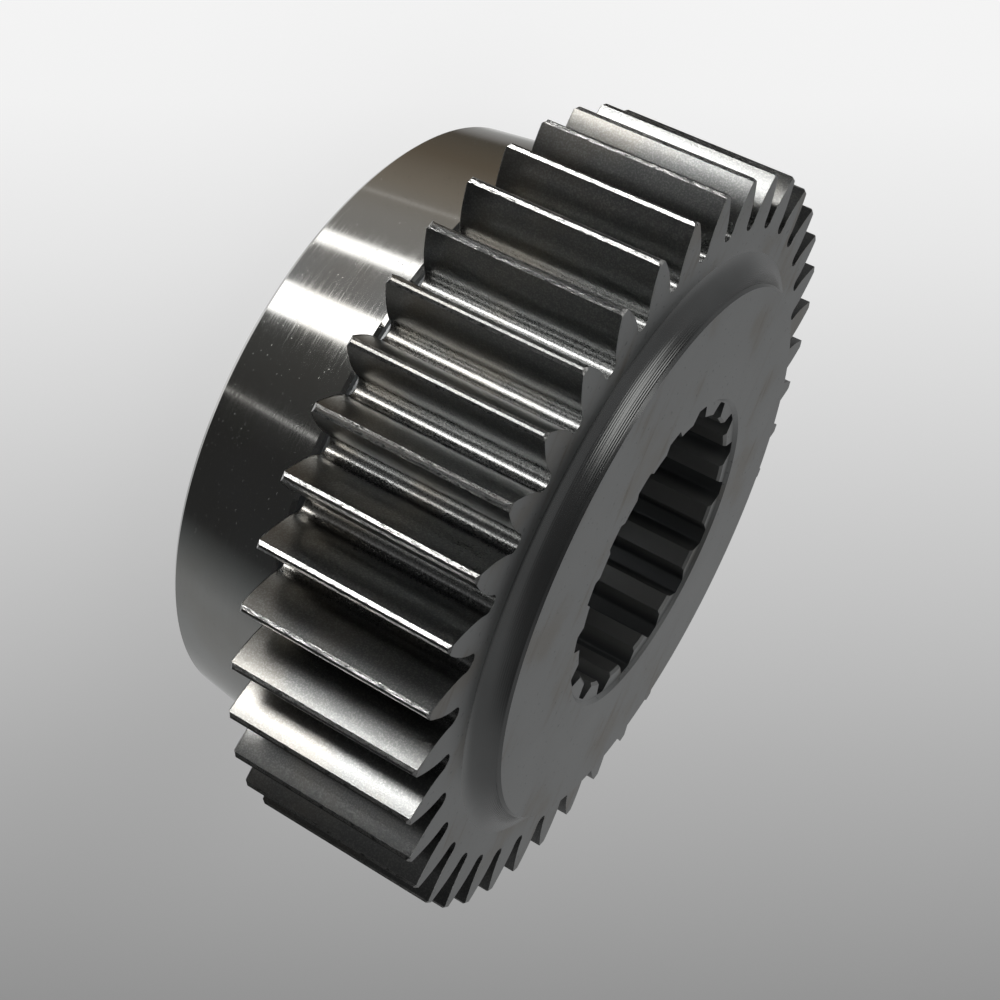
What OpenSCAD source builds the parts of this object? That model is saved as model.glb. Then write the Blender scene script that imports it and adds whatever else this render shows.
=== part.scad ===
// Transmission gear: straight outer teeth, a ground friction cone behind them, a raised boss in
// front of them and a splined bore. It is one piece of steel.
// Sizes are millimetres and degrees. The gear's axis is Z and its back face lies on z = 0.

/* [Teeth] */
// Number of outer teeth
teeth = 40; // [36:1:56]
// Pitch diameter divided by the number of teeth
tooth_module = 4; // [3.6:0.1:6]
// Pressure angle of the tooth flanks
pressure_angle = 20; // [17:0.5:22]
// Height of the tooth tips above the pitch circle, in modules
addendum_factor = 1.325; // [1:0.025:1.35]
// Depth of the roots below the pitch circle, in modules
dedendum_factor = 1.73; // [1.4:0.01:1.8]
// Tooth thickness on the pitch circle as a share of the tooth spacing
tooth_share = 0.515; // [0.48:0.005:0.53]
// Radius of the root fillets, made smaller where the gap is too narrow for it
root_fillet = 1.6; // [0.6:0.1:1.6]
// Bevel along both edges of each tooth tip
tip_bevel = 0.5; // [0.2:0.05:0.6]
// Bevel across both ends of each tooth tip
end_bevel = 0.6; // [0.2:0.1:3]
// Width of the teeth along the axis
face_width = 41.5; // [20:0.5:80]

/* [Friction cone] */
// Length from the back face to the groove
cone_length = 25.4; // [12:0.2:50]
// Half angle of the cone
cone_angle = 7; // [0:0.5:12]
// Step from the root circle down to the cone's large end
cone_step = 0.2; // [0.1:0.1:6]
// Length of the bevel at the cone's large end
cone_lead = 0.9; // [0.2:0.1:3]
// Height of that bevel
cone_lead_drop = 0.35; // [0.1:0.05:1]
// Bevel at the edge of the back face
back_bevel = 1; // [0.2:0.1:3]

/* [Groove] */
// Width of the groove between the cone and the teeth
groove_width = 1.6; // [0.8:0.1:5]
// Depth of the groove below the cone's front edge
groove_depth = 0.5; // [0.2:0.1:3]
// Step from the root circle down to the groove's edge on the side of the teeth
groove_edge = 0.35; // [0.1:0.05:1]

/* [Boss] */
// Height of the boss above the front ends of the teeth
boss_height = 5; // [1:0.5:6]
// Distance from the root circle in to the boss
boss_inset = 10.6; // [8.6:0.2:16]
// Radius of the cove around the boss
cove_radius = 6.2; // [5:0.2:8]
// Bevel at the edge of the boss
boss_edge = 0.5; // [0.1:0.1:0.9]

/* [Bore] */
// Number of spline teeth
spline_teeth = 17; // [12:1:20]
// Radius at the crests of the spline teeth
spline_minor_radius = 31.5; // [28:0.5:33.5]
// Radius at the bottom of the slots
spline_major_radius = 35.1; // [33.5:0.1:40]
// Width of a spline tooth at its crest
spline_crest_width = 4.35; // [3:0.05:6]
// Width of a spline tooth at the bottom of the slots
spline_root_width = 9.45; // [7:0.05:10.5]
// Length that the rounding takes off the corners of the slots
slot_round = 0.4; // [0.1:0.1:0.7]
// Turn of the spline against the outer teeth
spline_turn = 1.4; // [0:0.1:21]
// Step from the slots out to the edge of the bore's mouth
mouth_margin = 1.1; // [0.3:0.1:3]
// Depth of the bevelled mouth, the same at both ends
mouth_depth = 0.75; // [0.2:0.05:3]
// Bevel on the ends of the spline crests
crest_lead = 0.6; // [0.2:0.1:1.5]

/* [Hidden] */
$fn = 240;
fillet_steps = 4;
flank_steps = 5;
round_steps = 3;
overlap = 1;

// Radii of the outer teeth
pitch_r = tooth_module * teeth / 2;
base_r = pitch_r * cos(pressure_angle);
tip_r = pitch_r + addendum_factor * tooth_module;
root_r = pitch_r - dedendum_factor * tooth_module;

// Heights above the back face
rim_z = cone_length + groove_width;
front_z = rim_z + face_width;
top_z = front_z + boss_height;

// Radii of the cone, the groove and the boss
cone_large_r = root_r - cone_step;
cone_small_r = cone_large_r - (cone_length - cone_lead - back_bevel) * tan(cone_angle);
cone_front_r = cone_large_r - cone_lead_drop;
rim_edge_r = root_r - groove_edge;
groove_r = min(cone_front_r, rim_edge_r) - groove_depth;
boss_r = root_r - boss_inset;
cove_height = boss_height - boss_edge;
cove_low = cove_radius - min(cove_height, cove_radius);
cove_outer_r = boss_r + sqrt(cove_radius * cove_radius - cove_low * cove_low);
mouth_r = spline_major_radius + mouth_margin;

// Half the angle that a tooth takes at a radius on its involute flank
function involute(a) = tan(a) * 180 / PI - a;
function half_tooth(r) =
    180 * tooth_share / teeth + involute(pressure_angle) - involute(acos(base_r / r));

// Root fillet: an arc that touches the root circle and the start of the flank
gap_left = sin(180 / teeth - half_tooth(base_r) - 0.05);
fillet_r = min(root_fillet, root_r * gap_left / (1 - gap_left));
fillet_turn = asin(fillet_r / (root_r + fillet_r));
fillet_end_r = (root_r + fillet_r) * cos(fillet_turn);
flank_start_r = max(base_r, fillet_end_r);
flank_end_r = tip_r - tip_bevel;
foot_angle = half_tooth(flank_start_r);
land_angle = half_tooth(tip_r) - tip_bevel / tip_r * 180 / PI;

function polar(r, a) = [r * cos(a), r * sin(a)];

// A point of the fillet arc: its radius, and its angle from the middle of the tooth
function fillet_point(t) =
    let (p = [root_r + fillet_r, 0] + polar(fillet_r, 180 - t * (90 - fillet_turn)))
    [norm(p), foot_angle + fillet_turn - atan2(p[1], p[0])];

// One side of a tooth from the root to past the tip, as radii and angles from its middle
tooth_side = concat(
    [for (i = [0:fillet_steps]) fillet_point(i / fillet_steps)],
    [for (i = [0:flank_steps])
        let (r = flank_start_r + (flank_end_r - flank_start_r) * i / flank_steps)
        if (i > 0 || r > fillet_end_r + 0.01) [r, half_tooth(r)]],
    [[tip_r, land_angle], [tip_r + overlap, land_angle]]
);

function tooth_points(middle) = concat(
    [for (p = tooth_side) polar(p[0], middle - p[1])],
    [for (i = [len(tooth_side) - 1:-1:0]) polar(tooth_side[i][0], middle + tooth_side[i][1])]
);

// The toothed rim, turned down to the tip circle and bevelled at both ends of the tips
module rim() {
    translate([0, 0, rim_z])
        intersection() {
            translate([0, 0, -overlap])
                linear_extrude(face_width + 2 * overlap)
                    polygon([for (k = [0:teeth - 1]) each tooth_points(k * 360 / teeth)]);
            rotate_extrude()
                polygon([
                    [0, 0],
                    [tip_r - end_bevel, 0],
                    [tip_r, end_bevel],
                    [tip_r, face_width - end_bevel],
                    [tip_r - end_bevel, face_width],
                    [0, face_width]
                ]);
        }
}

// The friction cone, with the narrow groove that parts it from the teeth
module friction_cone() {
    rotate_extrude()
        polygon([
            [0, 0],
            [cone_small_r - back_bevel, 0],
            [cone_small_r, back_bevel],
            [cone_large_r, cone_length - cone_lead],
            [cone_front_r, cone_length],
            [groove_r, cone_length + groove_width * 0.3],
            [groove_r, cone_length + groove_width * 0.7],
            [rim_edge_r, rim_z],
            [rim_edge_r, rim_z + overlap],
            [0, rim_z + overlap]
        ]);
}

// The boss, with a cove that runs out into the front ends of the teeth
module boss() {
    rotate_extrude()
        difference() {
            polygon([
                [0, front_z - overlap],
                [cove_outer_r, front_z - overlap],
                [cove_outer_r, front_z + cove_height],
                [boss_r, front_z + cove_height],
                [boss_r - boss_edge, top_z],
                [0, top_z]
            ]);
            translate([cove_outer_r, front_z + cove_radius])
                circle(r = cove_radius);
        }
}

// Half angles of a spline slot at the crests and at its bottom
slot_crest_angle = 180 / spline_teeth - spline_crest_width / spline_minor_radius * 90 / PI;
slot_bottom_angle = 180 / spline_teeth - spline_root_width / spline_major_radius * 90 / PI;
slot_round_angle = slot_round / spline_major_radius * 180 / PI;

// One side of a slot from inside the bore to the middle of its bottom
crest_corner = polar(spline_minor_radius, slot_crest_angle);
bottom_corner = polar(spline_major_radius, slot_bottom_angle);
slot_wall = (bottom_corner - crest_corner) / norm(bottom_corner - crest_corner);
round_start = bottom_corner - slot_wall * slot_round;
round_end = polar(spline_major_radius, slot_bottom_angle - slot_round_angle);
slot_side = concat(
    [crest_corner - slot_wall * overlap],
    [for (i = [0:round_steps])
        let (t = i / round_steps)
        (1 - t) * (1 - t) * round_start + 2 * t * (1 - t) * bottom_corner + t * t * round_end],
    [polar(spline_major_radius, (slot_bottom_angle - slot_round_angle) / 2)]
);

// One spline slot through the whole gear
module spline_slot() {
    translate([0, 0, -overlap])
        linear_extrude(top_z + 2 * overlap)
            polygon(concat(
                slot_side,
                [[spline_major_radius, 0]],
                [for (i = [len(slot_side) - 1:-1:0]) [slot_side[i][0], -slot_side[i][1]]]
            ));
}

// What the bore takes away at its front end: the bevelled mouth and the bevels on the crests
module bore_mouth() {
    translate([0, 0, top_z - mouth_depth])
        cylinder(r1 = mouth_r - mouth_depth, r2 = mouth_r + overlap, h = mouth_depth + overlap);
    translate([0, 0, top_z - mouth_depth - crest_lead - overlap])
        cylinder(
            r1 = spline_minor_radius - overlap,
            r2 = spline_minor_radius + crest_lead + overlap,
            h = crest_lead + 2 * overlap
        );
}

module splined_bore() {
    translate([0, 0, -overlap])
        cylinder(r = spline_minor_radius, h = top_z + 2 * overlap);
    for (k = [0:spline_teeth - 1])
        rotate([0, 0, spline_turn + (k + 0.5) * 360 / spline_teeth])
            spline_slot();
    bore_mouth();
    translate([0, 0, top_z])
        mirror([0, 0, 1])
            bore_mouth();
}

module gear() {
    color([0.56, 0.56, 0.55])
        difference() {
            union() {
                friction_cone();
                rim();
                boss();
            }
            splined_bore();
        }
}

gear();
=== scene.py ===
"""Transmission gear: straight outer teeth, a ground friction cone, a raised boss, a splined bore.

The gear is made the way a real one is: a blank is turned, the tooth gaps are hobbed and the
spline slots broached out of it, and each kind of surface gets its own finish.
Lengths are in metres and angles in degrees unless a name says otherwise. The gear's axis is Z.
"""
import math

import bpy
from mathutils import Matrix, Vector


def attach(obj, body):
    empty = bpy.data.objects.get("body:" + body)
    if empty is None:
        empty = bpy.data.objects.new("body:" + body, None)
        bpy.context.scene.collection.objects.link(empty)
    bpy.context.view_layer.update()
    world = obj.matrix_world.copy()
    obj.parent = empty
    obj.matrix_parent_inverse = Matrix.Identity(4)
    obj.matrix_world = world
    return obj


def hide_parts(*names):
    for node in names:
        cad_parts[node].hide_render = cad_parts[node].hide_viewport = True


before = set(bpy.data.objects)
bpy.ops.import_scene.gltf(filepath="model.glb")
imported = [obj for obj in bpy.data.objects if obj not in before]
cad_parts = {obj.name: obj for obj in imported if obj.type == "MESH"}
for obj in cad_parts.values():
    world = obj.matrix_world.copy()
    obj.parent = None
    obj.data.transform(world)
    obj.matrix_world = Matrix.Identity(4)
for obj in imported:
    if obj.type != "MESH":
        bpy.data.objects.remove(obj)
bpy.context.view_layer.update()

MM = 0.001

# Teeth
TEETH = 40
TOOTH_SPACING = 360 / TEETH
PRESSURE_ANGLE = 20
TOOTH_SHARE = 0.515
PITCH_R = 80 * MM
BASE_R = PITCH_R * math.cos(math.radians(PRESSURE_ANGLE))
TIP_R = 85.3 * MM
ROOT_R = 73.08 * MM
ROOT_FILLET = 1.95 * MM
GROUND_AWAY = 0.34 * MM  # taken off each flank, all over
TIP_CORNER_R = 84.88 * MM  # where the tip bevel starts
TIP_LAND = 0.5 * MM  # width of the flat left between the two tip bevels
END_BEVEL = 0.6 * MM
BROKEN_EDGE = 0.1 * MM  # at both ends of the teeth
OVERRUN = 0.04 * MM  # how far the hob's flare runs on past the ends of the teeth
ROOT_FLAT = 0.05  # degrees kept free between a root fillet and the middle of its gap
FILLET_STEPS = 8
FLANK_STEPS = 12

# Heights above the back face
CONE_TOP = 25.4 * MM
RIM_BACK = 27.0 * MM
RIM_FRONT = 68.5 * MM
BOSS_TOP = 73.5 * MM

# Friction cone and the groove in front of it
CONE_SMALL_R = 70.0 * MM
CONE_LARGE_R = 72.88 * MM
CONE_FRONT_R = 72.53 * MM
CONE_LEAD = 0.9 * MM
BACK_BEVEL = 1.0 * MM
GROOVE_R = 72.03 * MM
GROOVE_FLOOR = (0.3, 0.7)  # where its flat bottom starts and ends, as shares of its width
RIM_EDGE_R = 72.73 * MM

# Boss and the cove around it
BOSS_R = 62.48 * MM
BOSS_EDGE = 0.5 * MM
COVE_RADIUS = 6.2 * MM
COVE_OUTER_R = 68.44 * MM
COVE_FEED = 0.42 * MM  # from one turning ridge to the next in the cove
RIDGE_HEIGHT = 0.028 * MM
RIDGE_GROWTH = 1.6  # how fast the ridges reach that height on the way up to the boss
SMOOTH_STEPS = 3  # steps at the foot of the cove that have no ridge
FACE_FEED = 0.32 * MM  # from one turning mark to the next on the flat faces

# Bore
SPLINE_TEETH = 17
SPLINE_TURN = 1.4
CREST_R = 31.5 * MM
SLOT_R = 35.1 * MM
CREST_WIDTH = 4.35 * MM
SPLINE_FOOT_WIDTH = 9.45 * MM
SLOT_ROUND = 0.4 * MM
SLOT_ROUND_STEPS = 6
MOUTH_R = 36.2 * MM
MOUTH_DEPTH = 0.75 * MM
CREST_LEAD = 0.6 * MM

TURNING_STEPS = 360
REACH = 3 * MM  # how far the cutters pass beyond what they cut
WELD = 0.002 * MM  # corners closer than this become one
HAIR = 0.01 * MM  # a margin for telling heights apart
FLAT = 0.9  # how far along the axis the normal of a flat face points, at least
LEANING = 0.1  # the same for a bevel across the end of a tooth tip
SMOOTHED = 13  # the sharpest edge that is shaded smooth


# ---------------------------------------------------------------- drawing and cutting

def ring_point(radius, angle, height=0.0):
    turn = math.radians(angle)
    return Vector((radius * math.cos(turn), radius * math.sin(turn), height))


def draw_outline(name, points):
    """Draws a closed outline point by point and fills it; it stays open in edit mode."""
    bpy.ops.object.select_all(action="DESELECT")
    bpy.ops.mesh.primitive_plane_add(size=MM)
    piece = bpy.context.object
    piece.name = piece.data.name = name
    bpy.ops.object.mode_set(mode="EDIT")
    bpy.ops.mesh.select_mode(type="VERT")
    bpy.ops.mesh.merge(type="CENTER")
    bpy.ops.transform.translate(value=points[0])
    for here, there in zip(points, points[1:]):
        bpy.ops.mesh.extrude_vertices_move(TRANSFORM_OT_translate={"value": there - here})
    bpy.ops.mesh.select_all(action="SELECT")
    bpy.ops.mesh.edge_face_add()
    return piece


def turn_on_lathe(name, profile):
    """Spins a closed profile of (radius, height) points round the gear's axis."""
    piece = draw_outline(name, [Vector((radius, 0, height)) for radius, height in profile])
    bpy.ops.mesh.delete(type="ONLY_FACE")
    bpy.ops.mesh.select_all(action="SELECT")
    bpy.ops.mesh.spin(steps=TURNING_STEPS, angle=2 * math.pi, center=(0, 0, 0), axis=(0, 0, 1))
    finish_shell()
    return piece


def finish_shell():
    """Welds what was drawn, turns its faces outwards and leaves edit mode."""
    bpy.ops.mesh.select_all(action="SELECT")
    bpy.ops.mesh.remove_doubles(threshold=WELD)
    bpy.ops.mesh.normals_make_consistent(inside=False)
    bpy.ops.object.mode_set(mode="OBJECT")


def extrude_up(height):
    bpy.ops.mesh.extrude_region_move(TRANSFORM_OT_translate={"value": (0, 0, height)})


def repeat_round(count):
    """Copies what was drawn round the gear's axis, so that there are count in all."""
    bpy.ops.mesh.select_all(action="SELECT")
    bpy.ops.mesh.spin(
        steps=count - 1,
        dupli=True,
        angle=2 * math.pi * (count - 1) / count,
        center=(0, 0, 0),
        axis=(0, 0, 1),
    )


def cut_away(piece, tool):
    bpy.ops.object.select_all(action="DESELECT")
    bpy.context.view_layer.objects.active = piece
    piece.select_set(True)
    cut = piece.modifiers.new("cut", "BOOLEAN")
    cut.operation = "DIFFERENCE"
    cut.solver = "EXACT"
    cut.object = tool
    bpy.ops.object.modifier_apply(modifier=cut.name)
    bpy.data.objects.remove(tool)


# ---------------------------------------------------------------- the turned blank

def cove_profile():
    """The cove from the flat ring of the front face up to the boss, with its feed ridges."""
    middle = RIM_FRONT + COVE_RADIUS
    last = math.acos(1 - (BOSS_TOP - BOSS_EDGE - RIM_FRONT) / COVE_RADIUS)
    steps = 2 * round(COVE_RADIUS * last / COVE_FEED)
    profile = []
    for step in range(steps + 1):
        turn = last * step / steps
        radius = COVE_RADIUS
        if step % 2 and step > SMOOTH_STEPS:
            radius -= RIDGE_HEIGHT * min(1, step / steps * RIDGE_GROWTH)
        profile.append((COVE_OUTER_R - radius * math.sin(turn), middle - radius * math.cos(turn)))
    return profile


def turned_blank():
    floor_start, floor_end = (CONE_TOP + part * (RIM_BACK - CONE_TOP) for part in GROOVE_FLOOR)
    back = [
        (MOUTH_R, 0),
        (CONE_SMALL_R - BACK_BEVEL, 0),
        (CONE_SMALL_R, BACK_BEVEL),
        (CONE_LARGE_R, CONE_TOP - CONE_LEAD),
        (CONE_FRONT_R, CONE_TOP),
        (GROOVE_R, floor_start),
        (GROOVE_R, floor_end),
        (RIM_EDGE_R, RIM_BACK),
    ]
    rim = [
        (TIP_R - END_BEVEL, RIM_BACK),
        (TIP_R, RIM_BACK + END_BEVEL),
        (TIP_R, RIM_FRONT - END_BEVEL),
        (TIP_R - END_BEVEL, RIM_FRONT),
    ]
    boss = cove_profile() + [(BOSS_R - BOSS_EDGE, BOSS_TOP), (MOUTH_R, BOSS_TOP)]
    bore = [
        (MOUTH_R - MOUTH_DEPTH, BOSS_TOP - MOUTH_DEPTH),
        (CREST_R + CREST_LEAD, BOSS_TOP - MOUTH_DEPTH),
        (CREST_R, BOSS_TOP - MOUTH_DEPTH - CREST_LEAD),
        (CREST_R, MOUTH_DEPTH + CREST_LEAD),
        (CREST_R + CREST_LEAD, MOUTH_DEPTH),
        (MOUTH_R - MOUTH_DEPTH, MOUTH_DEPTH),
    ]
    return turn_on_lathe("gear_body", back + rim + boss + bore)


# ---------------------------------------------------------------- tooth gaps

def involute(angle):
    return math.degrees(math.tan(math.radians(angle))) - angle


def half_tooth(radius):
    """Half the angle that a tooth takes at a radius on its flank."""
    slope = math.degrees(math.acos(min(1, BASE_R / radius)))
    angle = 180 * TOOTH_SHARE / TEETH + involute(PRESSURE_ANGLE) - involute(slope)
    return angle - math.degrees(GROUND_AWAY / radius)


def gap_side():
    """One side of a tooth gap from the root out past the tip, as (radius, angle from the gap)."""
    half_gap = TOOTH_SPACING / 2
    room = math.sin(math.radians(half_gap - half_tooth(BASE_R) - ROOT_FLAT))
    fillet = min(ROOT_FILLET, ROOT_R * room / (1 - room))
    turn = math.degrees(math.asin(fillet / (ROOT_R + fillet)))
    flank_start = max(BASE_R, (ROOT_R + fillet) * math.cos(math.radians(turn)))
    foot = half_tooth(flank_start)
    side = []
    for step in range(FILLET_STEPS + 1):
        swing = 180 - step / FILLET_STEPS * (90 - turn)
        point = ring_point(fillet, swing) + Vector((ROOT_R + fillet, 0, 0))
        angle = foot + turn - math.degrees(math.atan2(point.y, point.x))
        side.append((point.length, half_gap - angle))
    for step in range(1, FLANK_STEPS + 1):
        radius = flank_start + (TIP_CORNER_R - flank_start) * step / FLANK_STEPS
        side.append((radius, half_gap - half_tooth(radius)))
    land = math.degrees(TIP_LAND / 2 / TIP_R)
    return side + [(TIP_R, half_gap - land), (TIP_R + REACH, half_gap - land)]


def widened(outline, distance):
    """The outline moved outwards by a distance, for the broken edges at the tooth ends."""
    moved = []
    ahead = outline[1:] + outline[:1]
    behind = outline[-1:] + outline[:-1]
    for before, point, after in zip(behind, outline, ahead):
        along = (point - before).normalized() + (after - point).normalized()
        moved.append(point + Vector((along.y, -along.x, 0)).normalized() * distance)
    return moved


def tooth_gaps():
    """The hob's work: 40 gaps, a little wider where they run out at the ends of the teeth."""
    side = gap_side()
    middle = TOOTH_SPACING / 2
    outline = [ring_point(radius, middle - angle) for radius, angle in reversed(side)]
    outline += [ring_point(radius, middle + angle) for radius, angle in side]
    flare = BROKEN_EDGE + OVERRUN
    wide = widened(outline, flare)
    low = RIM_BACK + BROKEN_EDGE
    high = RIM_FRONT - BROKEN_EDGE
    gap = draw_outline("tooth_gaps", [point + Vector((0, 0, low)) for point in outline])
    extrude_up(high - low)
    extrude_up(flare)
    bpy.ops.mesh.select_all(action="DESELECT")
    bpy.ops.object.mode_set(mode="OBJECT")
    for face in gap.data.polygons:
        face.select = abs(face.normal.z) > FLAT and abs(face.center.z - low) < HAIR
    bpy.ops.object.mode_set(mode="EDIT")
    extrude_up(-flare)
    bpy.ops.object.mode_set(mode="OBJECT")
    for corner in gap.data.vertices:
        if corner.co.z > high + HAIR or corner.co.z < low - HAIR:
            flat = Vector((corner.co.x, corner.co.y, 0))
            nearest = min(range(len(outline)), key=lambda n: (outline[n] - flat).length)
            corner.co = wide[nearest] + Vector((0, 0, corner.co.z))
    bpy.ops.object.mode_set(mode="EDIT")
    repeat_round(TEETH)
    finish_shell()
    return gap


# ---------------------------------------------------------------- spline slots

def slot_outline():
    """A spline slot from inside the bore round its bottom and back, with rounded corners."""
    half = 180 / SPLINE_TEETH
    crest = ring_point(CREST_R, half - math.degrees(CREST_WIDTH / CREST_R / 2))
    bottom_angle = half - math.degrees(SPLINE_FOOT_WIDTH / SLOT_R / 2)
    bottom = ring_point(SLOT_R, bottom_angle)
    wall = (bottom - crest).normalized()
    round_angle = math.degrees(SLOT_ROUND / SLOT_R)
    start = bottom - wall * SLOT_ROUND
    end = ring_point(SLOT_R, bottom_angle - round_angle)
    side = [crest - wall * REACH / 2]
    for step in range(SLOT_ROUND_STEPS + 1):
        part = step / SLOT_ROUND_STEPS
        side.append(start * (1 - part) ** 2 + bottom * 2 * part * (1 - part) + end * part ** 2)
    side.append(ring_point(SLOT_R, (bottom_angle - round_angle) / 2))
    mirrored = [Vector((point.x, -point.y, 0)) for point in reversed(side)]
    return side + [Vector((SLOT_R, 0, 0))] + mirrored


def spline_slots():
    """The broach's work: 17 slots through the whole bore."""
    turn = Matrix.Rotation(math.radians(SPLINE_TURN + 180 / SPLINE_TEETH), 3, "Z")
    outline = [turn @ point + Vector((0, 0, -REACH)) for point in slot_outline()]
    slots = draw_outline("spline_slots", outline)
    extrude_up(BOSS_TOP + 2 * REACH)
    repeat_round(SPLINE_TEETH)
    finish_shell()
    return slots


# ---------------------------------------------------------------- shader sums

class Wire:
    """The output of a node, which takes part in sums as a number does."""

    def __init__(self, net, socket):
        self.net = net
        self.socket = socket

    def __add__(self, other):
        return self.net.calculate("ADD", self, other)

    def __radd__(self, other):
        return self.net.calculate("ADD", other, self)

    def __sub__(self, other):
        return self.net.calculate("SUBTRACT", self, other)

    def __rsub__(self, other):
        return self.net.calculate("SUBTRACT", other, self)

    def __mul__(self, other):
        return self.net.calculate("MULTIPLY", self, other)

    def __rmul__(self, other):
        return self.net.calculate("MULTIPLY", other, self)

    def __truediv__(self, other):
        return self.net.calculate("DIVIDE", self, other)

    def __rtruediv__(self, other):
        return self.net.calculate("DIVIDE", other, self)

    def __pow__(self, other):
        return self.net.calculate("POWER", self, other)

    def __abs__(self):
        return self.net.calculate("ABSOLUTE", self)


class Net:
    """The nodes of one material or of the world."""

    def __init__(self, owner):
        owner.use_nodes = True
        self.tree = owner.node_tree
        self.tree.nodes.clear()

    def add(self, kind, settings=None, values=None, out=0):
        node = self.tree.nodes.new(kind)
        for name, value in (settings or {}).items():
            if name == "stops":
                self.set_stops(node.color_ramp, value)
            else:
                setattr(node, name, value)
        for name, value in (values or {}).items():
            if isinstance(value, Wire):
                self.tree.links.new(value.socket, node.inputs[name])
            else:
                node.inputs[name].default_value = value
        return Wire(self, node.outputs[out])

    def calculate(self, operation, first, second=0.0):
        return self.add("ShaderNodeMath", {"operation": operation}, {0: first, 1: second})

    def calculate_vector(self, operation, first, second=(0, 0, 0), out="Vector"):
        settings = {"operation": operation}
        return self.add("ShaderNodeVectorMath", settings, {0: first, 1: second}, out)

    def set_stops(self, ramp, stops):
        while len(ramp.elements) < len(stops):
            ramp.elements.new(0.5)
        for element, (place, tone) in zip(ramp.elements, stops):
            element.position = place
            element.color = tone if isinstance(tone, tuple) else (tone, tone, tone, 1)

    def ramp(self, value, stops):
        """A colour ramp, whose stops are given at values."""
        lowest, highest = stops[0][0], stops[-1][0]
        part = (value - lowest) / (highest - lowest)
        stops = [((place - lowest) / (highest - lowest), tone) for place, tone in stops]
        return self.add("ShaderNodeValToRGB", {"stops": stops}, {0: part})

    def place(self):
        """Object coordinates as a vector and as x, y and z."""
        vector = self.add("ShaderNodeTexCoord", out="Object")
        parts = [self.add("ShaderNodeSeparateXYZ", None, {0: vector}, out) for out in range(3)]
        return [vector] + parts

    def from_axis(self, place):
        """The distance from the gear's axis."""
        _, x, y, _ = place
        return (x * x + y * y) ** 0.5

    def vector(self, x, y, z):
        return self.add("ShaderNodeCombineXYZ", None, {0: x, 1: y, 2: z})

    def smooth(self, value, start, end):
        """Goes smoothly from 0 where the value is at start to 1 where it is at end."""
        settings = {"interpolation_type": "SMOOTHSTEP"}
        return self.add("ShaderNodeMapRange", settings, {0: value, 1: start, 2: end})

    def noise(self, vector, scale, detail=2.0, roughness=0.5):
        values = {"Vector": vector, "Scale": scale, "Detail": detail, "Roughness": roughness}
        return self.add("ShaderNodeTexNoise", None, values)

    def streaks(self, place, across, along, detail=2.0, roughness=0.5):
        """Noise with one scale across the gear's axis and another along it."""
        _, x, y, z = place
        stretched = self.vector(x * across, y * across, z * along)
        return self.noise(stretched, 1, detail, roughness)

    def blend(self, factor, first, second):
        """Mixes two colours."""
        settings = {"data_type": "RGBA"}
        return self.add("ShaderNodeMix", settings, {0: factor, 6: first, 7: second}, out=2)

    def bump(self, height, depth, before=None):
        values = {"Height": height, "Strength": 1.0, "Distance": depth}
        if before is not None:
            values["Normal"] = before
        return self.add("ShaderNodeBump", None, values)

    def dot(self, vector, direction):
        return self.calculate_vector("DOT_PRODUCT", vector, direction, out="Value")

    def steel(self, color, roughness, normal):
        values = {"Base Color": color, "Metallic": 1.0, "Roughness": roughness, "Normal": normal}
        shader = self.add("ShaderNodeBsdfPrincipled", None, values)
        self.add_output(shader)

    def add_output(self, shader, kind="ShaderNodeOutputMaterial"):
        node = self.tree.nodes.new(kind)
        self.tree.links.new(shader.socket, node.inputs["Surface"])


def new_finish(name):
    finish = bpy.data.materials.new(name)
    return finish, Net(finish)


# ---------------------------------------------------------------- finishes

# The lightest steel, for the bevels: partly wear, partly a painted highlight
WORN_AND_HIGHLIT_STEEL = (0.66, 0.66, 0.65, 1)
BRIGHT_STEEL = (0.50, 0.50, 0.49, 1)
GREY_STEEL = (0.43, 0.44, 0.44, 1)
DULL_STEEL = (0.26, 0.265, 0.265, 1)
BROWN_STEEL = (0.38, 0.345, 0.295, 1)
# Dark steel: for real pits on the faces, and for painted shade in the bore and the groove
DARK_STEEL = (0.145, 0.155, 0.165, 1)
OLD_OIL = (0.27, 0.22, 0.17, 1)


def ground_cone_finish():
    """Finely ground: hairlines round the cone, streaks, some specks and a faint brown film."""
    finish, net = new_finish("ground_cone")
    place = net.place()
    lines = net.streaks(place, across=45, along=3400, detail=4, roughness=0.65)
    hairs = net.streaks(place, across=60, along=9000, detail=1)
    specks = net.streaks(place, across=1400, along=2200, detail=1)
    cloud = net.noise(place[0], scale=45, detail=3)
    film = net.smooth(cloud, 0.45, 0.75)
    color = net.blend(film * 0.3, BRIGHT_STEEL, BROWN_STEEL)
    roughness = 0.05 + 0.06 * cloud + 0.08 * net.smooth(lines, 0.42, 0.70)
    normal = net.bump(lines, 0.0017 * MM)
    normal = net.bump(hairs, 0.0006 * MM, normal)
    normal = net.bump(net.smooth(specks, 0.74, 0.78), 0.02 * MM, normal)
    net.steel(color, roughness, normal)
    return finish


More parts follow.
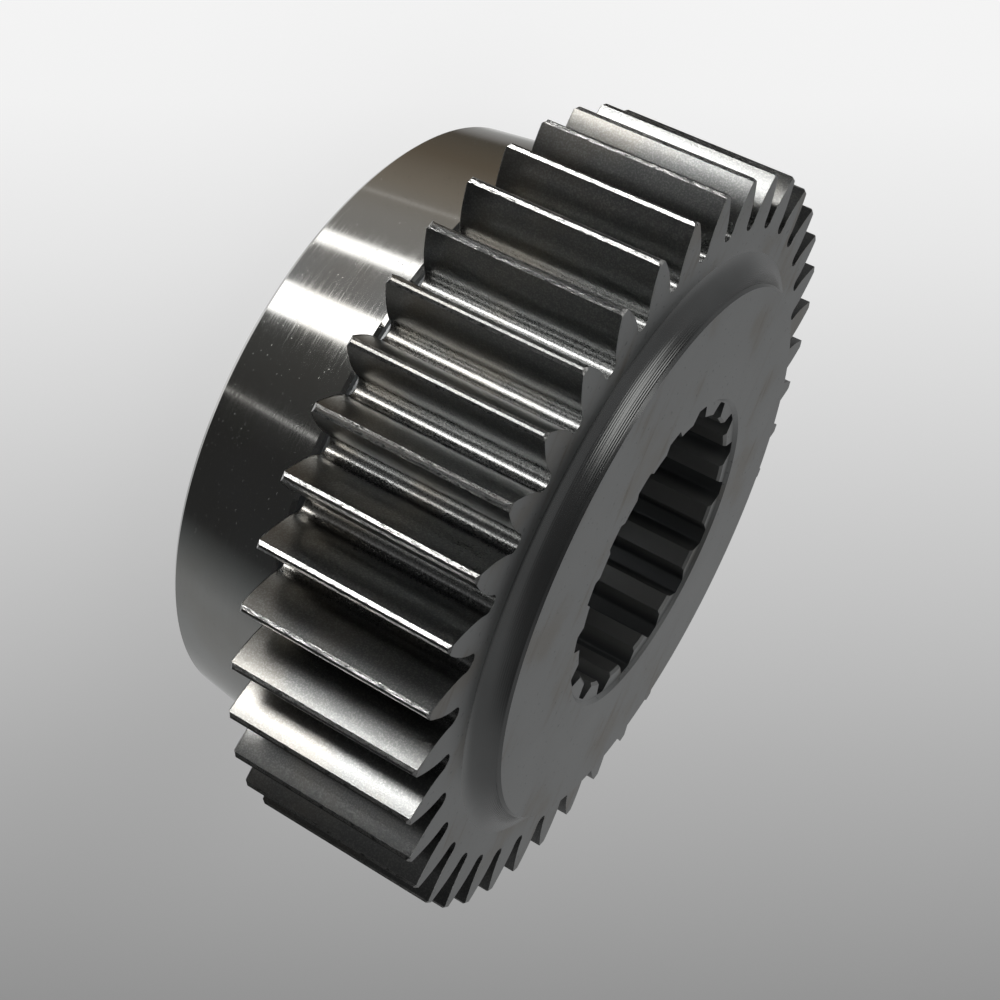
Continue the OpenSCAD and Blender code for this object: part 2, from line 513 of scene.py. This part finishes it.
def ground_flank_finish():
    """Ground flanks: a sandy grain, lines along the roots, marks across near the front."""
    finish, net = new_finish("ground_flanks")
    place = net.place()
    grain = net.noise(place[0], scale=2700, detail=3, roughness=0.75)
    strokes = net.streaks(place, across=3000, along=130, roughness=0.6)
    cross_marks = net.streaks(place, across=90, along=2200, roughness=0.6)
    cloud = net.noise(place[0], scale=70, detail=3)
    height = place[3]
    near_root = net.smooth(net.from_axis(place), ROOT_R + 4.5 * MM, ROOT_R + 2 * MM)
    near_front = net.smooth(height, 58 * MM, 66 * MM)
    film = net.smooth(cloud + 8 * (45 * MM - height), 0.42, 0.66)  # thicker towards the rear
    color = net.blend(film * 0.4, DULL_STEEL, BROWN_STEEL)
    color = net.blend(net.smooth(grain, 0.46, 0.64) * 0.6, color, BRIGHT_STEEL)
    roughness = 0.25 + 0.03 * cloud + 0.04 * grain - 0.01 * near_root
    normal = net.bump(grain, 0.028 * MM)
    normal = net.bump(strokes * (0.15 + near_root), 0.0045 * MM, normal)
    normal = net.bump(cross_marks * near_front, 0.0060 * MM, normal)
    net.steel(color, roughness, normal)
    return finish


def turned_face_finish():
    """Turned faces: faint feed rings, a fine grain, brown patches, oil stains and pits."""
    finish, net = new_finish("turned_faces")
    place = net.place()
    vector, x, y, z = place
    turns = net.from_axis(place) * (2 * math.pi / FACE_FEED)
    rings = net.calculate("SINE", turns + 2.5 * net.noise(vector, scale=300))
    grain = net.noise(vector, scale=3600, detail=3, roughness=0.7)
    cloud = net.noise(vector, scale=60, detail=4)
    pits = net.smooth(net.noise(vector, scale=900), 0.33, 0.28)
    smeared = net.vector(0.5 * x - 0.86 * y, 0.09 * x + 0.05 * y, 0.3 * z)
    stains = net.noise(smeared, scale=420, detail=3, roughness=0.6)
    stains = net.smooth(stains, 0.52, 0.72) * net.smooth(cloud, 0.40, 0.62)
    color = net.blend(net.smooth(cloud, 0.5, 0.72) * 0.5, GREY_STEEL, BROWN_STEEL)
    color = net.blend(stains * 0.45, color, OLD_OIL)
    color = net.blend(pits * 0.5, color, DARK_STEEL)
    roughness = 0.30 + 0.10 * (cloud - 0.5) + 0.06 * grain
    normal = net.bump(rings, 0.0006 * MM)
    normal = net.bump(grain, 0.0035 * MM, normal)
    net.steel(color, roughness, normal)
    return finish


def turned_cove_finish():
    """The cove: bright turned steel, on which the feed ridges are modelled."""
    finish, net = new_finish("turned_cove")
    place = net.place()
    cloud = net.noise(place[0], scale=60, detail=4)
    grain = net.noise(place[0], scale=3600, detail=3, roughness=0.7)
    hairs = net.streaks(place, across=80, along=6000)
    color = net.blend(cloud, DULL_STEEL, GREY_STEEL)
    roughness = 0.14 + 0.07 * grain + 0.09 * cloud
    normal = net.bump(hairs, 0.0010 * MM)
    normal = net.bump(grain, 0.0015 * MM, normal)
    net.steel(color, roughness, normal)
    return finish


def worn_and_highlit_edge_finish():
    """Bevels and tip lands: bright, partly from wear and partly as a painted highlight, with
    nicks from handling.
    """
    finish, net = new_finish("worn_and_highlit_edges")
    place = net.place()
    nicks = net.streaks(place, across=1500, along=640, detail=3, roughness=0.65)
    grain = net.noise(place[0], scale=4200, roughness=0.6)
    # Painted highlight as well as wear: the bevels and tip lands get a lighter base colour than
    # the other steel, broken by darker nicks.
    color = net.blend(net.smooth(nicks, 0.46, 0.36), WORN_AND_HIGHLIT_STEEL, DULL_STEEL)
    roughness = 0.22 + 0.14 * grain
    normal = net.bump(nicks, 0.15 * MM)
    normal = net.bump(grain, 0.003 * MM, normal)
    net.steel(color, roughness, normal)
    return finish


def broached_bore_finish():
    """Broached spline walls: marks along the bore, with painted shade in the slots and away from
    the front opening.
    """
    finish, net = new_finish("broached_bore")
    place = net.place()
    marks = net.streaks(place, across=2600, along=60, roughness=0.6)
    cloud = net.noise(place[0], scale=90, detail=3)
    # Painted shade: the slots, and the bore from a few millimetres inside its front opening
    # onwards, are darkened towards DARK_STEEL.
    slot_painted_shade = net.smooth(net.from_axis(place), CREST_R + 0.3 * MM, SLOT_R - 0.6 * MM)
    inner_painted_shade = net.smooth(place[3], BOSS_TOP - 6 * MM, BOSS_TOP / 2)
    color = net.blend(cloud, BRIGHT_STEEL, GREY_STEEL)
    color = net.blend(slot_painted_shade * 0.75, color, DARK_STEEL)
    color = net.blend(inner_painted_shade * 0.75, color, DARK_STEEL)
    roughness = 0.36 + 0.12 * cloud
    normal = net.bump(marks, 0.003 * MM)
    net.steel(color, roughness, normal)
    return finish


def groove_painted_shade_finish():
    """The narrow groove between the cone and the teeth, coloured dark as painted shade."""
    finish, net = new_finish("dark_groove")
    place = net.place()
    cloud = net.noise(place[0], scale=400)
    # Painted shade: the whole groove is coloured between DARK_STEEL and DULL_STEEL.
    color = net.blend(cloud, DARK_STEEL, DULL_STEEL)
    roughness = 0.4 + 0.1 * cloud
    normal = net.bump(cloud, 0.004 * MM)
    net.steel(color, roughness, normal)
    return finish


FINISHES = [
    turned_face_finish,
    ground_cone_finish,
    ground_flank_finish,
    worn_and_highlit_edge_finish,
    broached_bore_finish,
    groove_painted_shade_finish,
    turned_cove_finish,
]
FACE, CONE, FLANK, EDGE, BORE, GROOVE, COVE = range(len(FINISHES))


def finish_of(face):
    """Which finish a face of the gear has, by its place and the way it looks."""
    centre, normal = face.center, face.normal
    radius = math.hypot(centre.x, centre.y)
    upright = abs(normal.z) < FLAT
    if radius < MOUTH_R - MOUTH_DEPTH and upright:
        return BORE
    if centre.z > RIM_BACK + HAIR and radius > GROOVE_R and upright:
        bevel = TIP_CORNER_R < radius < TIP_R - 2 * HAIR
        return EDGE if abs(normal.z) > LEANING or bevel else FLANK
    if radius > CONE_SMALL_R - BACK_BEVEL and upright:
        return CONE if centre.z < CONE_TOP else GROOVE
    if RIM_FRONT + HAIR < centre.z < BOSS_TOP - HAIR and radius > BOSS_R - BOSS_EDGE:
        return COVE
    return FACE


def gear_body():
    gear = turned_blank()
    cut_away(gear, tooth_gaps())
    cut_away(gear, spline_slots())
    for make_finish in FINISHES:
        gear.data.materials.append(make_finish())
    for face in gear.data.polygons:
        face.material_index = finish_of(face)
    bpy.ops.object.shade_smooth_by_angle(angle=math.radians(SMOOTHED))
    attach(gear, "root")
    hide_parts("gear")


# ---------------------------------------------------------------- camera

CAMERA_PLACE = Vector((0.08951, -0.33546, 0.16034))
CAMERA_RIGHT = Vector((-0.49420, 0.11701, 0.86144))
CAMERA_UP = Vector((-0.79426, -0.46363, -0.39269))
CAMERA_AHEAD = Vector((-0.35344, 0.87827, -0.32206))
SENSOR = 36.0
FRAME_SIZE = 1000  # pixels
FOCAL_PIXELS = 1642.5
AXIS_COLUMN = 618.8  # where the lens axis meets the picture
AXIS_ROW = 318.7
NEAREST_SEEN = 10 * MM


def add_camera():
    lens = bpy.data.cameras.new("camera")
    lens.sensor_width = SENSOR
    lens.lens = FOCAL_PIXELS * SENSOR / FRAME_SIZE
    lens.shift_x = 0.5 - AXIS_COLUMN / FRAME_SIZE
    lens.shift_y = AXIS_ROW / FRAME_SIZE - 0.5
    lens.clip_start = NEAREST_SEEN
    camera = bpy.data.objects.new("camera", lens)
    bpy.context.collection.objects.link(camera)
    turn = Matrix((CAMERA_RIGHT, CAMERA_UP, -CAMERA_AHEAD)).transposed()
    camera.location = CAMERA_PLACE
    camera.rotation_euler = turn.to_euler()
    bpy.context.scene.camera = camera


# ---------------------------------------------------------------- studio

# The backdrop's tones run along fixed directions, those of the photograph's camera.
BACKDROP_TONES = [  # (part of the way from the dark side to the pale one, tone)
    (0.0, 0.292),
    (0.050, 0.319),
    (0.249, 0.434),
    (0.499, 0.610),
    (0.749, 0.799),
    (0.898, 0.888),
    (1.0, 0.905),
]
BACKDROP_DARK_SIDE = -0.415  # slope of a direction that meets the first tone
BACKDROP_PALE_SIDE = 0.195
BACKDROP_LEAST_AHEAD = 0.6  # keeps the slope small in directions to the sides
BACKDROP_FADES = (0.45, 0.80)  # how far ahead a direction points where the tones fade in
REST_OF_STUDIO = (0.6, 0.6, 0.6, 1)
FILL_LIGHT = 0.7  # from all round, for what isn't mirrored
FLOOR_SIZE = 40
FLOOR_SHADOW = 0.10  # how much of the floor's look comes from the light that falls on it
FLOOR_LIT = 0.80  # its brightness where nothing shades it


def backdrop_tone(net, direction):
    """The backdrop's grey: pale at one side of the studio and darker towards the other."""
    ahead = net.dot(direction, CAMERA_AHEAD)
    side = net.dot(direction, CAMERA_UP)
    slope = side / net.calculate("MAXIMUM", ahead, BACKDROP_LEAST_AHEAD)
    ends = {0: slope, 1: BACKDROP_DARK_SIDE, 2: BACKDROP_PALE_SIDE}
    tone = net.ramp(net.add("ShaderNodeMapRange", None, ends), BACKDROP_TONES)
    return net.blend(net.smooth(ahead, *BACKDROP_FADES), REST_OF_STUDIO, tone)


def seen_or_mirrored(net):
    """1 for what the camera sees, also in a mirror or through glass."""
    kinds = ("Is Camera Ray", "Is Glossy Ray", "Is Transmission Ray")
    camera, glossy, through = [net.add("ShaderNodeLightPath", out=kind) for kind in kinds]
    return net.calculate("MAXIMUM", net.calculate("MAXIMUM", camera, glossy), through)


def light_world():
    world = bpy.data.worlds.new("studio")
    world.cycles.sampling_method = "NONE"  # so that the room also blocks it from the steel
    bpy.context.scene.world = world
    net = Net(world)
    direction = net.add("ShaderNodeTexCoord", out="Generated")
    backdrop = net.add("ShaderNodeBackground", None, {0: backdrop_tone(net, direction), 1: 1.0})
    fill = net.add("ShaderNodeBackground", None, {0: (1, 1, 1, 1), 1: FILL_LIGHT})
    mixed = net.add("ShaderNodeMixShader", None, {0: seen_or_mirrored(net), 1: fill, 2: backdrop})
    net.add_output(mixed, "ShaderNodeOutputWorld")


def add_floor():
    bpy.ops.object.select_all(action="DESELECT")
    bpy.ops.mesh.primitive_plane_add(size=FLOOR_SIZE)
    floor = bpy.context.object
    floor.name = floor.data.name = "floor"
    finish, net = new_finish("floor")
    place = net.add("ShaderNodeTexCoord", out="Object")
    away = net.calculate_vector("SUBTRACT", place, CAMERA_PLACE)
    tone = backdrop_tone(net, net.calculate_vector("NORMALIZE", away))
    lit = FLOOR_SHADOW * FLOOR_LIT
    tone = net.calculate_vector("SUBTRACT", tone, (lit, lit, lit))
    paint = net.add("ShaderNodeBsdfDiffuse", None, {0: (FLOOR_LIT, FLOOR_LIT, FLOOR_LIT, 1)})
    glow = net.add("ShaderNodeEmission", None, {0: tone, 1: 1 / (1 - FLOOR_SHADOW)})
    seen = seen_or_mirrored(net)
    pale = net.add("ShaderNodeMixShader", None, {0: seen * (1 - FLOOR_SHADOW), 1: paint, 2: glow})
    underside = net.add("ShaderNodeNewGeometry", out="Backfacing")
    clear = net.add("ShaderNodeBsdfTransparent")
    net.add_output(net.add("ShaderNodeMixShader", None, {0: underside, 1: pale, 2: clear}))
    floor.data.materials.append(finish)
    floor.visible_glossy = False


# The room round the gear, which its steel mirrors. Its angles are counted from ROOM_SIDE.
ROOM_SIDE = -75  # where the photograph's camera stands
ROOM_R = 0.60
ROOM_CORNERS = 180
# (radius, height) from the bottom of the walls to the edge of the flat ceiling
ROOM_PROFILE = [(ROOM_R, -1.0), (ROOM_R, 0.9), (0.75 * ROOM_R, 1.3), (0.5 * ROOM_R, 1.45)]
LOWER_WALLS = [  # (angle, tone)
    (-180, (0.70, 0.70, 0.69, 1)),
    (-153, (0.62, 0.62, 0.61, 1)),
    (-146, (0.38, 0.38, 0.37, 1)),
    (-135, (0.26, 0.25, 0.24, 1)),
    (-128, (0.100, 0.088, 0.070, 1)),
    (-105, (0.165, 0.135, 0.100, 1)),
    (-84, (0.280, 0.245, 0.200, 1)),
    (-66, (0.340, 0.325, 0.300, 1)),
    (-30, (0.300, 0.300, 0.300, 1)),
    (-16, (0.200, 0.200, 0.195, 1)),
    (-8, (0.085, 0.085, 0.080, 1)),
    (30, (0.036, 0.036, 0.035, 1)),
    (66, (0.036, 0.037, 0.037, 1)),
    (74, (0.100, 0.105, 0.105, 1)),
    (92, (0.270, 0.275, 0.275, 1)),
    (130, (0.300, 0.305, 0.305, 1)),
    (150, (0.380, 0.385, 0.385, 1)),
    (180, (0.70, 0.70, 0.70, 1)),
]
MIDDLE_WALLS = [  # at the height that the tooth flanks mirror
    (-180, 0.020),
    (-112, 0.012),
    (-93, 0.020),
    (-72, 0.035),
    (-52, 0.090),
    (-40, 0.150),
    (-32, 0.20),
    (-14, 0.90),
    (-5, 0.40),
    (4, 0.180),
    (12, 0.095),
    (26, 0.055),
    (45, 0.025),
    (65, 0.012),
    (180, 0.020),
]
UPPER_WALLS = [  # from about the floor up: (angle to either side, tone)
    (0, 0.040),
    (70, 0.040),
    (90, 0.120),
    (115, 0.140),
    (140, 0.180),
    (157, 0.250),
    (180, 0.265),
]
CEILING = [(0, 0.050), (55, 0.050), (100, 0.130), (180, 0.130)]  # the same way
MIDDLE_START = -0.285  # height where the middle walls start
MIDDLE_SOFT = 0.012  # half the height over which they do
MIDDLE_RISE = 0.04  # how much higher they start behind the gear
MIDDLE_RISES = (105, 140)  # angles to either side between which that rise lies
UPPER_START = (-0.10, -0.04)  # heights between which the upper walls start
CEILING_START = (0.36, 0.56)

STRIP_LIGHTS = [  # (middle, half width, soft edge, lowest, highest, brightness)
    (-21.2, 6.2, 2.0, -0.80, -0.28, 3.0),
    (-21.8, 6.3, 2.0, -0.28, -0.07, 10.0),
    (-48.8, 3.2, 2.0, -0.80, -0.30, 2.4),
    (-75.0, 0.6, 0.8, -0.80, -0.30, 0.30),
    (17.6, 0.6, 0.8, -0.80, -0.30, 0.70),
    (-50.0, 25.0, 20.0, 0.36, 0.98, 0.85),
]
STRIP_COLOR = (1.0, 0.99, 0.965, 1)
STRIP_END = 0.03  # height over which a strip fades out at its ends


def room_shell():
    """The walls and the ceiling, drawn up from a ring."""
    bottom = (0, 0, ROOM_PROFILE[0][1])
    bpy.ops.object.select_all(action="DESELECT")
    bpy.ops.mesh.primitive_circle_add(vertices=ROOM_CORNERS, radius=ROOM_R, location=bottom)
    room = bpy.context.object
    room.name = room.data.name = "studio_room"
    bpy.ops.object.transform_apply(location=True)
    bpy.ops.object.mode_set(mode="EDIT")
    bpy.ops.mesh.select_all(action="SELECT")
    for (radius, height), (next_radius, next_height) in zip(ROOM_PROFILE, ROOM_PROFILE[1:]):
        extrude_up(next_height - height)
        size = next_radius / radius
        bpy.ops.transform.resize(value=(size, size, 1), center_override=(0, 0, next_height))
    bpy.ops.mesh.edge_face_add()
    bpy.ops.object.mode_set(mode="OBJECT")
    return room


def add_room():
    room = room_shell()
    finish, net = new_finish("studio_room")
    _, x, y, z = net.place()
    turn = math.radians(ROOM_SIDE)
    near = x * math.cos(turn) + y * math.sin(turn)
    side = y * math.cos(turn) - x * math.sin(turn)
    angle = net.calculate("ARCTAN2", side, near) * (180 / math.pi)
    lights = 0.0
    for place, half, soft, lowest, highest, brightness in STRIP_LIGHTS:
        across = net.smooth(abs(angle - place), half + soft / 2, half - soft / 2)
        above = net.smooth(z, lowest - STRIP_END, lowest)
        below = net.smooth(z, highest + STRIP_END, highest)
        lights = across * (above * below) * brightness + lights
    rise = MIDDLE_RISE * net.smooth(abs(angle), *MIDDLE_RISES)
    middle = net.smooth(z - MIDDLE_START - rise, -MIDDLE_SOFT, MIDDLE_SOFT)
    walls = net.blend(middle, net.ramp(angle, LOWER_WALLS), net.ramp(angle, MIDDLE_WALLS))
    walls = net.blend(net.smooth(z, *UPPER_START), walls, net.ramp(abs(angle), UPPER_WALLS))
    walls = net.blend(net.smooth(z, *CEILING_START), walls, net.ramp(abs(angle), CEILING))
    glow = net.add("ShaderNodeEmission", None, {0: walls, 1: 1.0})
    strips = net.add("ShaderNodeEmission", None, {0: STRIP_COLOR, 1: lights})
    glow = net.add("ShaderNodeAddShader", None, {0: glow, 1: strips})
    net.add_output(glow)
    room.data.materials.append(finish)
    room.visible_camera = False
    room.visible_diffuse = False
    room.visible_shadow = False
    room.visible_transmission = False


SUN_SPREAD = 60
SUN_STRENGTH = 1.1
SUN_SIDE = Vector((-0.4, 0.3, 1.0))  # where it stands


def add_lamp():
    lamp = bpy.data.lights.new("soft_sun", "SUN")
    lamp.angle = math.radians(SUN_SPREAD)
    lamp.energy = SUN_STRENGTH
    sun = bpy.data.objects.new("soft_sun", lamp)
    bpy.context.collection.objects.link(sun)
    sun.rotation_euler = SUN_SIDE.to_track_quat("Z", "Y").to_euler()
    sun.visible_glossy = False


gear_body()
add_camera()
light_world()
add_floor()
add_room()
add_lamp()
bpy.context.scene.view_settings.view_transform = "Standard"
